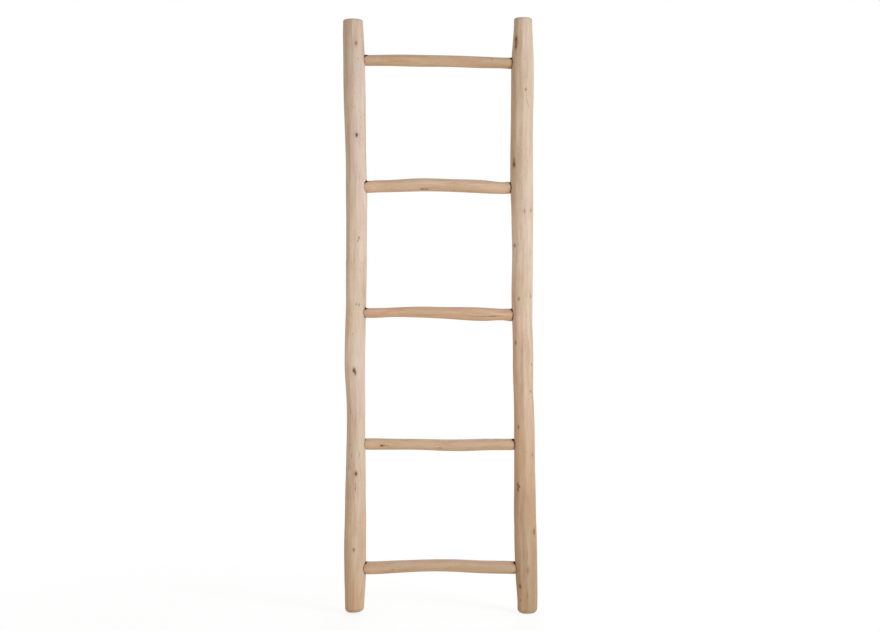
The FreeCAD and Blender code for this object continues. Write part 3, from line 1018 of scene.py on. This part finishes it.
    # End grain: year rings about the pith, and checks that run out from it
    flat = add(tree, "VectorMath", [grain, ACROSS_GRAIN], "MULTIPLY")
    wobble = {"Vector": flat, "Scale": 1 / YEAR_WOBBLE_SIZE, "Detail": 2.0}
    uneven = add(tree, "TexNoise", wobble)
    out = add(tree, "VectorMath", [flat], "LENGTH").outputs["Value"]
    ring = add(tree, "Math", [uneven, YEAR_WOBBLE, out], "MULTIPLY_ADD")
    years = waves(tree, ring, math.tau / YEAR_RING)
    spoke = add(tree, "VectorMath", [flat], "NORMALIZE")
    checks = add(tree, "TexNoise", {"Vector": spoke, "Scale": CHECK_SCALE, "Detail": 3.0})
    end_colour = stain(
        tree, linear(sawn),
        (year, (years, -0.2, 1.0, 0.6)),
        ("#7a5a3a", (checks, 0.40, 0.32, 0.7)),
        ("#7d5b3b", (out, PITH, PITH_HEART, 0.7)),
    )
    colour = stain(tree, colour, (end_colour, (end, 0.35, 0.9, 0.9)))

    # Fibres and ridges catch the light a little; knots are sunk, and the grime and painted shade at the
    # joints don't shine
    fine = add(tree, "Math", [fibre, thin], "ADD")
    sunk = strength(tree, (away, 0.8, 0.3, 1.2), has_body)
    relief = add(tree, "Math", [fine, sunk], "SUBTRACT")
    rough = add(tree, "MapRange", [thin, 0.2, 0.8, 0.72, 0.56])
    shine = add(tree, "MapRange", [darkened, 0.0, 1.0, 0.3, 0.0])
    bare_wood(tree, colour, rough, relief, 0.35, 0.5 * MM, shine)
    return material


def bored_wood():
    """Wood torn by a spoon bit where a socket was bored: rough, broken up and brown, painted darker than
    such wood is, as the shade deep in the socket.
    """
    material, tree = new_finish("bored_branch_wood")
    place = add(tree, "TexCoord").outputs["Object"]
    torn = add(tree, "TexNoise", {"Vector": place, "Scale": 1 / TORN_SIZE, "Detail": 3.0})
    # These dark browns are painted shade as deep in the socket, over the brown of torn wood
    colour = stain(tree, linear("#54351a"), ("#85592f", (torn, 0.35, 0.7)))
    bare_wood(tree, colour, 0.85, torn, 0.6, 0.5 * MM)
    return material


def peg_wood():
    """Split hardwood peg, shaved to eight flats and pared off: browner and denser than the poles."""
    material, tree = new_finish("shaved_hardwood_peg")
    place = add(tree, "TexCoord").outputs["Object"]
    drawn = add(tree, "VectorMath", [place, PEG_GRAIN_SIZE], "DIVIDE")
    pores = add(tree, "TexNoise", {"Vector": drawn, "Scale": 1.0, "Detail": 3.0})
    colour = stain(tree, linear("#8a6541"), ("#b98f66", (pores, 0.35, 0.65)))
    bare_wood(tree, colour, 0.6, pores, 0.4, 0.3 * MM)
    return material


# Building the ladder

NUMBERS = range(1, RUNG_COUNT + 1)
LEFT_POLE = Pole("left_stile", Z, LEFT_OPEN_SIDE, *STILE_MEASURE)
RIGHT_POLE = Pole("right_stile", Z, RIGHT_OPEN_SIDE, *STILE_MEASURE)
RUNG_POLES = [Pole(f"rung_{number}", X, RUNG_OPEN_SIDE, *RUNG_MEASURE) for number in NUMBERS]

left_wood = peeled_wood(
    "peeled_branch_left_stile",
    [(0.0, "#cb9f6f"), (1.0, "#c5b8a8"), (0.012, "#ccaa82"), (0.07, "#cdaf8c"), (0.22, "#d6ba9d"),
     (0.42, "#ddc4a9"), (0.62, "#e0c6ac"), (0.86, "#d7bea7"), (0.985, "#ccb49b"), (0.995, "#ccb59d")],
    pale="#e9dac8", dark="#b08d6a", sawn="#c8ab8b", year="#b0926f",
)
right_wood = peeled_wood(
    "peeled_branch_right_stile",
    [(0.0, "#b79773"), (1.0, "#c1b4a3"), (0.10, "#be9c79"), (0.24, "#c8a580"), (0.42, "#d4b393"),
     (0.62, "#dac0a7"), (0.86, "#d1b599"), (0.985, "#ceb599"), (0.995, "#ccb49a")],
    pale="#e5d3bd", dark="#a98561", sawn="#c8aa8c", year="#ad8f6e",
)
# The rungs' under tint is painted warm light on their undersides
rung_wood = peeled_wood(
    "peeled_branch_rung",
    [(0.0, "#c4a688"), (1.0, "#c4a483"), (0.28, "#d2b394"), (0.5, "#d1ac8c"), (0.72, "#d2b294")],
    pale="#dfc6a8", dark="#a37f5b", sawn="#bd9a72", year="#96714a", under="#fffaef",
)
socket_wood = bored_wood()
peg_material = peg_wood()
skin_tree = peeled_skin_tree()

pieces = []
stiles = (
    ("left_stile", LEFT_POLE, LEFT_GRAIN_SHIFT, LEFT_STILE_TONES, LEFT_STILE_KNOTS, left_wood, 1,
     LEFT_LINE_SHARES),
    ("right_stile", RIGHT_POLE, RIGHT_GRAIN_SHIFT, RIGHT_STILE_TONES, RIGHT_STILE_KNOTS, right_wood, -1,
     RIGHT_LINE_SHARES),
)
for node, pole, shift, tones, knots, wood, inward, lines in stiles:
    mesh = pole_mesh(
        node + "_peeled", pole, STILE_RING_STEP, STILE_SIDES, FOOT_ROUND, TOP_ROUND, shift,
        STILE_DEPTH_SHARE,
    )
    piece = peel(mesh, pole, tones, knots, skin_tree, wood)
    if pole is LEFT_POLE:
        saw_off_square(piece.data, pole)
    pegs = [node.replace("stile", f"peg_{number}") for number in NUMBERS]
    bore_holes(piece, pole, inward, pegs, lines, socket_wood)
    pieces.append((piece, node, "stile_wood"))
left_darkening = zip(LEFT_CORNER_SHARES, LEFT_LINE_SHARES)
right_darkening = zip(RIGHT_CORNER_SHARES, RIGHT_LINE_SHARES)
rungs = zip(NUMBERS, RUNG_POLES, RUNG_TONES, RUNG_KNOTS, left_darkening, right_darkening)
for number, pole, tones, knots, left, right in rungs:
    node = f"rung_{number}"
    mesh = pole_mesh(
        node + "_peeled", pole, RUNG_RING_STEP, RUNG_SIDES, TENON_ROUND, TENON_ROUND,
        RUNG_GRAIN_SHIFT + number,
    )
    piece = peel(mesh, pole, tones, knots, skin_tree, rung_wood)
    darken_rung_ends(piece.data, pole, left, right)
    pieces.append((piece, node, "rung_wood"))
for node in [f"{side}_peg_{number}" for side in ("left", "right") for number in NUMBERS]:
    piece = new_object(node + "_shaved", peg_mesh(node + "_shaved", node))
    piece.data.materials.append(peg_material)
    pieces.append((piece, node, "peg_wood"))
for piece, node, slot in pieces:
    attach(piece, "root")
    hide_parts(node)

# Floor, light and camera

FLOOR_REACH = 8.0
FLOOR_GLOW = 0.8
SHADOW_START = 0.64
SHADOW_REACH = 1.6
WHITE = (1, 1, 1, 1)
SOFT_LIGHT = 0.60
SOFT_LIGHT_COLOUR = "#fff9ef"
LAMP_COLOUR = "#d4e8ff"
LAMP_SIZE = (1.4, 2.0)
LAMPS = (("key_light", 95, (2.7, -2.6, 1.1)), ("back_light", 60, (0.3, 3.6, 1.2)))
LADDER_MIDDLE = (0.0, 0.0, 0.75)
CAMERA_DISTANCE = 4.2
CAMERA_SIDE = -0.5 * MM
CAMERA_HEIGHT = 0.7506
PHOTO_WIDTH = 880
METRES_PER_PIXEL = 2.524 * MM
SENSOR_WIDTH = 36

corners = [(x * FLOOR_REACH, y * FLOOR_REACH, 0) for x, y in ((-1, -1), (1, -1), (1, 1), (-1, 1))]
floor_mesh = bpy.data.meshes.new("floor")
floor_mesh.from_pydata(corners, [], [(0, 1, 2, 3)])
floor = new_object("floor", floor_mesh)


def seen_directly(tree):
    """One where the camera sees a surface itself or in a shine or a clear pane, else nothing."""
    path = add(tree, "LightPath").outputs
    shine = add(tree, "Math", [path["Is Camera Ray"], path["Is Glossy Ray"]], "MAXIMUM")
    return add(tree, "Math", [shine, path["Is Transmission Ray"]], "MAXIMUM")


# Matt white paper: pale for the light it throws back, white to the eye but for the ladder's shadow
paper, tree = new_finish("matt_white_paper")
matt = add(tree, "BsdfDiffuse", {"Color": linear("#f0f0f0")})
faint = add(tree, "BsdfDiffuse", {"Color": linear("#8a8a8a")})
glow = add(tree, "Emission", {"Color": WHITE, "Strength": FLOOR_GLOW})
white = add(tree, "Emission", {"Color": WHITE, "Strength": 1.0})
near = add(tree, "AddShader", [faint, glow])
place = add(tree, "TexCoord").outputs["Object"]
distance = add(tree, "VectorMath", [place], "LENGTH").outputs["Value"]
far = strength(tree, (distance, SHADOW_START, SHADOW_REACH))
seen = add(tree, "MixShader", [far, near, white])
both = add(tree, "MixShader", [seen_directly(tree), matt, seen])
add(tree, "OutputMaterial", {"Surface": both})
floor_mesh.materials.append(paper)

world = bpy.data.worlds.new("studio")
bpy.context.scene.world = world
world.use_nodes = True
tree = world.node_tree
tree.nodes.clear()
soft_light = {"Color": linear(SOFT_LIGHT_COLOUR), "Strength": SOFT_LIGHT}
soft = add(tree, "Background", soft_light)
white = add(tree, "Background", {"Color": WHITE, "Strength": 1.0})
both = add(tree, "MixShader", [seen_directly(tree), soft, white])
add(tree, "OutputWorld", {"Surface": both})

for name, watts, place in LAMPS:
    lamp = bpy.data.lights.new(name, "AREA")
    lamp.shape = "RECTANGLE"
    lamp.size, lamp.size_y = LAMP_SIZE
    lamp.energy = watts
    lamp.color = linear(LAMP_COLOUR)[:3]
    light = new_object(name, lamp)
    light.location = place
    aim = Vector(LADDER_MIDDLE) - light.location
    light.rotation_euler = aim.to_track_quat("-Z", "Y").to_euler()

camera_data = bpy.data.cameras.new("camera")
camera_data.sensor_width = SENSOR_WIDTH
camera_data.lens = SENSOR_WIDTH * CAMERA_DISTANCE / (PHOTO_WIDTH * METRES_PER_PIXEL)
camera = new_object("camera", camera_data)
camera.location = (CAMERA_SIDE, -CAMERA_DISTANCE, CAMERA_HEIGHT)
camera.rotation_euler = (math.pi / 2, 0, 0)
bpy.context.scene.camera = camera
bpy.context.scene.view_settings.view_transform = "Standard"
